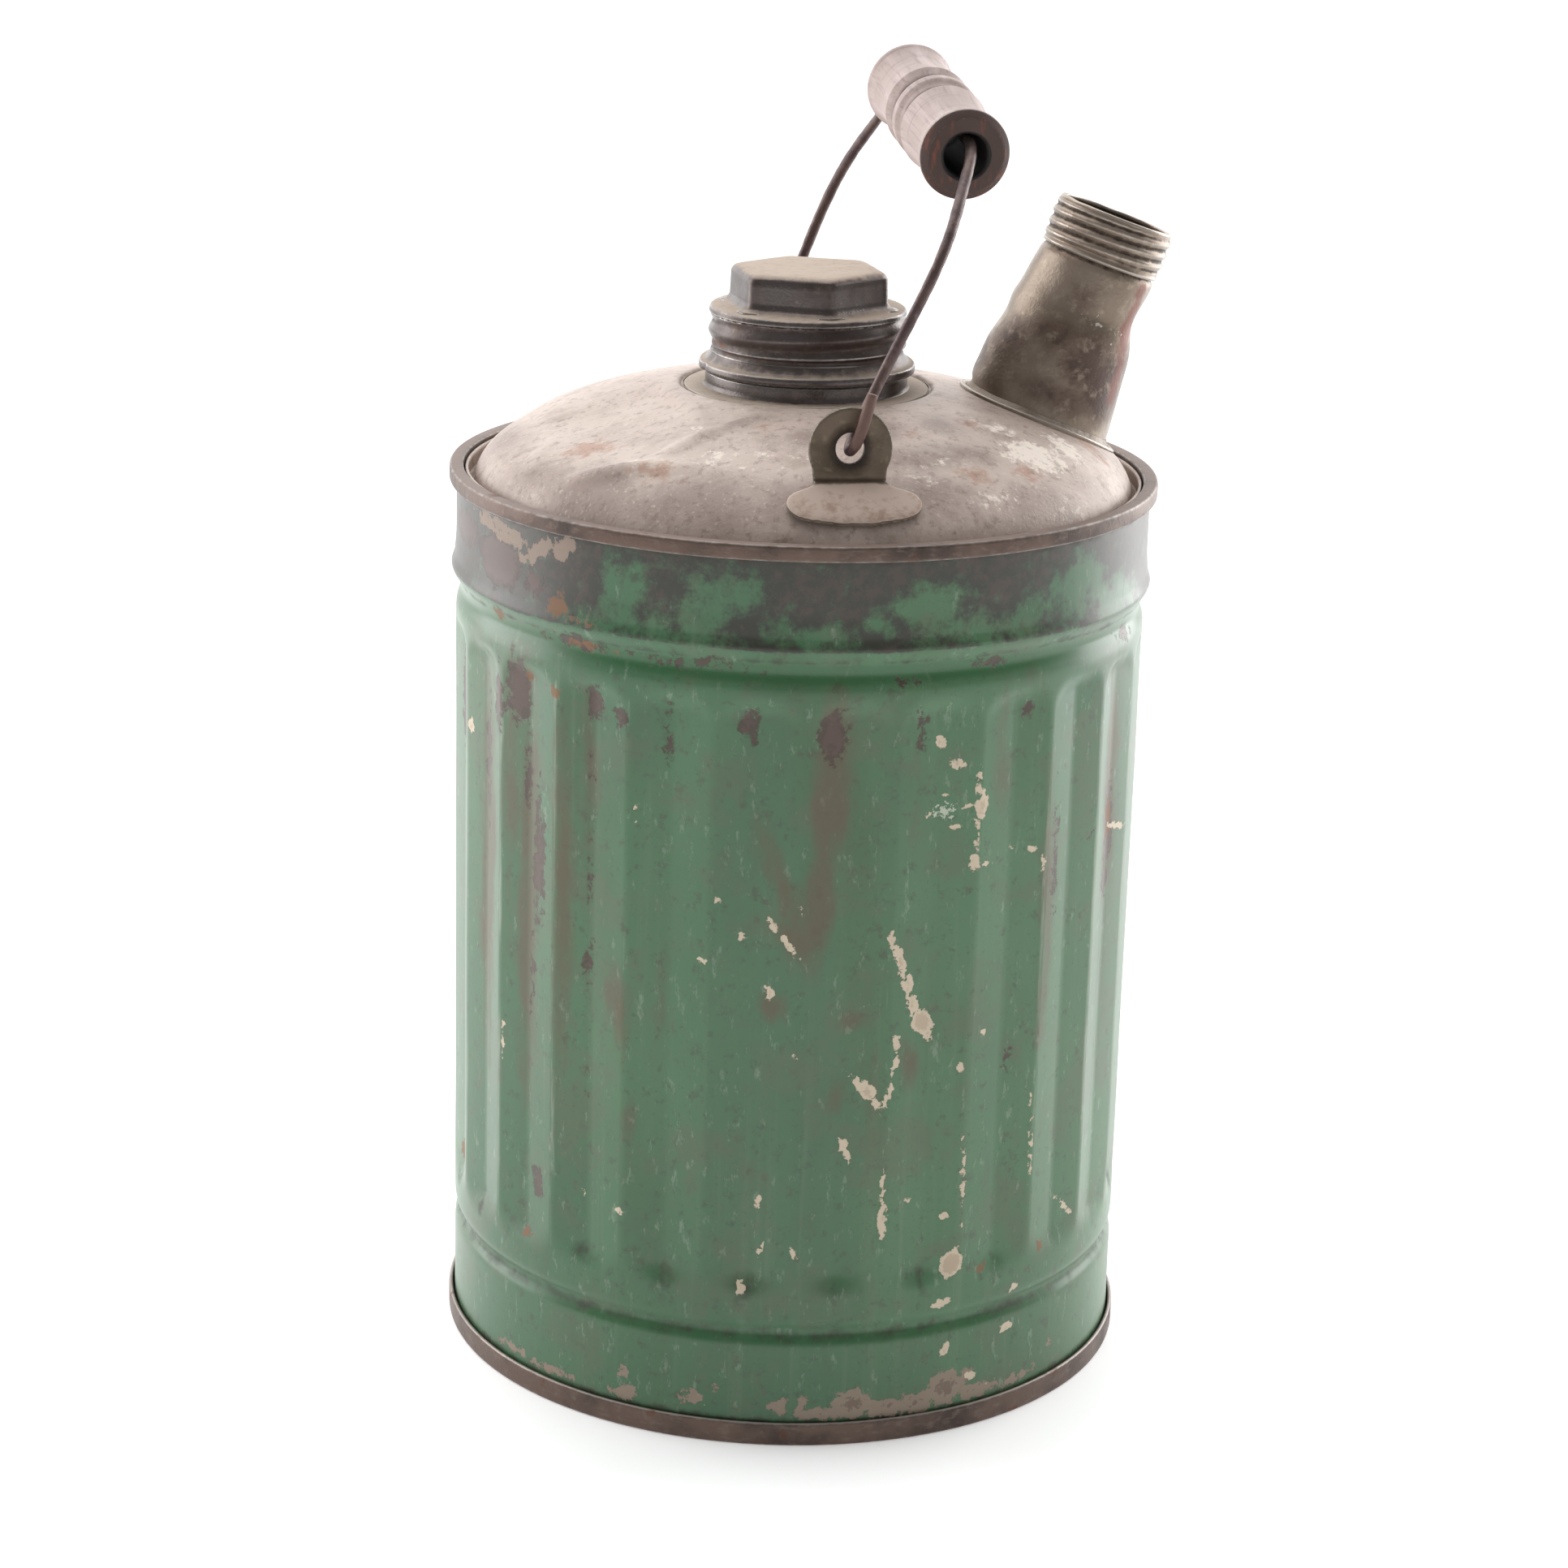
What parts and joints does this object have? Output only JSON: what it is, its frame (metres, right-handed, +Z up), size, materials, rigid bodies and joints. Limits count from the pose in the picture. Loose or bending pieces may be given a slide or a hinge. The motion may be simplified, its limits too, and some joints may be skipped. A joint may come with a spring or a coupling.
{
  "type": "fuel can",
  "caption": "Round fluted sheet-metal fuel can with a domed top, hexagonal screw cap, threaded pouring spout and a swinging wire bail with a turned wooden grip.",
  "frame": {"origin": "on the can's axis at floor level, under the middle of the bottom seam", "axes": "+Z up along the can's axis, +X towards the pouring spout, the bail's two ears at -Y (front) and +Y (rear)"},
  "size_m": [0.1596, 0.1572, 0.2911],
  "materials": {
    "body_paint": "worn, dust-dulled green enamel, chipped to brown metal and old cream paint",
    "seam_metal": "dark oxidised steel, rubbed light along the edges",
    "dome_tin": "tinplate under dry beige dust, with rust blooms and whitish oxide",
    "cap_metal": "dark bronze-grey satin metal, dusty on top, bright on the thread crests",
    "spout_metal": "mottled grey-beige tinplate with dark brown stains",
    "ear_metal": "olive-dark tinplate",
    "solder": "dull grey lead solder",
    "wire_steel": "dark brown oxidised wire, rusty at the cut ends",
    "grip_wood": "grey-brown weathered turned wood",
    "gasket": "hard black sealing ring"
  },
  "bodies": {
    "can": {"body_shell": "body_paint", "side_seam": "body_paint", "bottom_head": "seam_metal", "bottom_seam": "seam_metal", "top_head": "dome_tin", "top_seam": "seam_metal", "filler_neck": "cap_metal", "neck_solder": "solder", "spout_tube": "spout_metal", "spout_flange": "spout_metal", "spout_solder": "solder", "spout_collar": "spout_metal", "ear_front": "ear_metal", "ear_rear": "ear_metal", "ear_solder_front": "solder", "ear_solder_rear": "solder"},
    "bail": {"bail_wire": "wire_steel"},
    "grip": {"bail_grip": "grip_wood"},
    "seal": {"cap_gasket": "gasket"},
    "cap": {"fill_cap": "cap_metal"}
  },
  "joints": [
    {"name": "bail_swing", "type": "hinge", "parent": "can", "child": "bail", "pos_m": [0, 0, 0.21771], "axis": [0, 1, 0], "range_deg": [-114, 18]},
    {"name": "grip_spin", "type": "hinge", "parent": "bail", "child": "grip", "pos_m": [0.02738, 0.0015, 0.27754], "axis": [-0.035, 0.9901, 0.1361], "continuous": true},
    {"name": "cap_rise", "type": "slide", "parent": "can", "child": "seal", "axis": [0, 0, 1], "range_m": [0, 0.0102]},
    {"name": "cap_turn", "type": "hinge", "parent": "seal", "child": "cap", "pos_m": [0, 0, 0.23], "axis": [0, 0, 1], "range_deg": [0, 792]}
  ],
  "couplings": [
    {"joint": "cap_rise", "follows": "cap_turn", "m_per_rad": 0.00073211}
  ]
}
